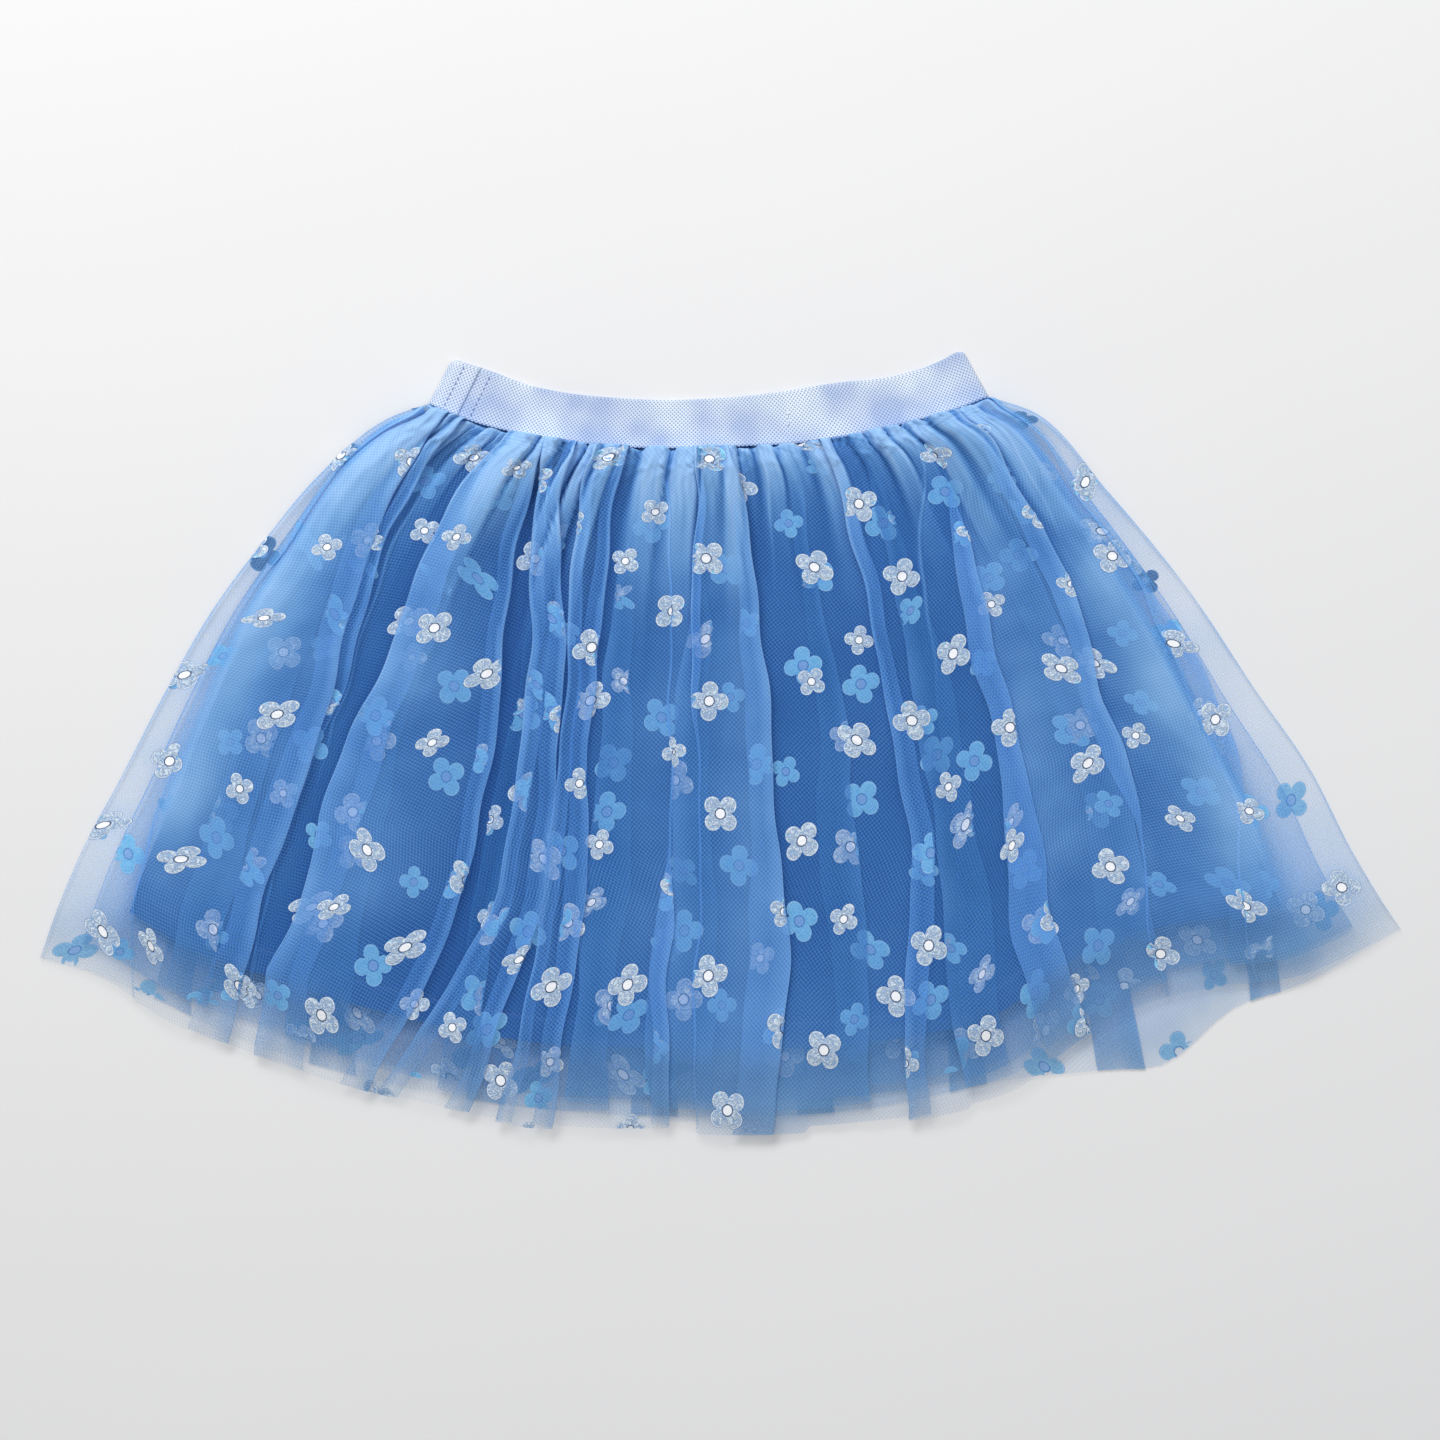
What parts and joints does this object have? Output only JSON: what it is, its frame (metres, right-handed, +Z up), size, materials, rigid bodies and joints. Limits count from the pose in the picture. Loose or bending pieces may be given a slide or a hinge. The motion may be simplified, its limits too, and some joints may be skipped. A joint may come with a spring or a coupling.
{
  "type": "child's tulle skirt, laid flat",
  "caption": "Gathered net skirt with small film flowers, an opaque lining and an elastic waistband, laid flat front side up.",
  "frame": {"origin": "under the middle of the laid-out skirt's box, on the surface it lies on", "axes": "+X to the right across the skirt, +Y from the hem towards the waistband, +Z up out of the surface, front of the skirt up"},
  "size_m": [0.571, 0.3298, 0.0177],
  "materials": {
    "elastic": "matte woven elastic",
    "net": "sheer nylon net with film flowers",
    "under_net": "sheer nylon net with film flowers",
    "lining": "smooth woven polyester, slight sheen"
  },
  "bodies": {
    "root": {"waistband": "elastic", "outer_tulle": "net", "under_tulle": "under_net", "lining": "lining"}
  },
  "joints": []
}
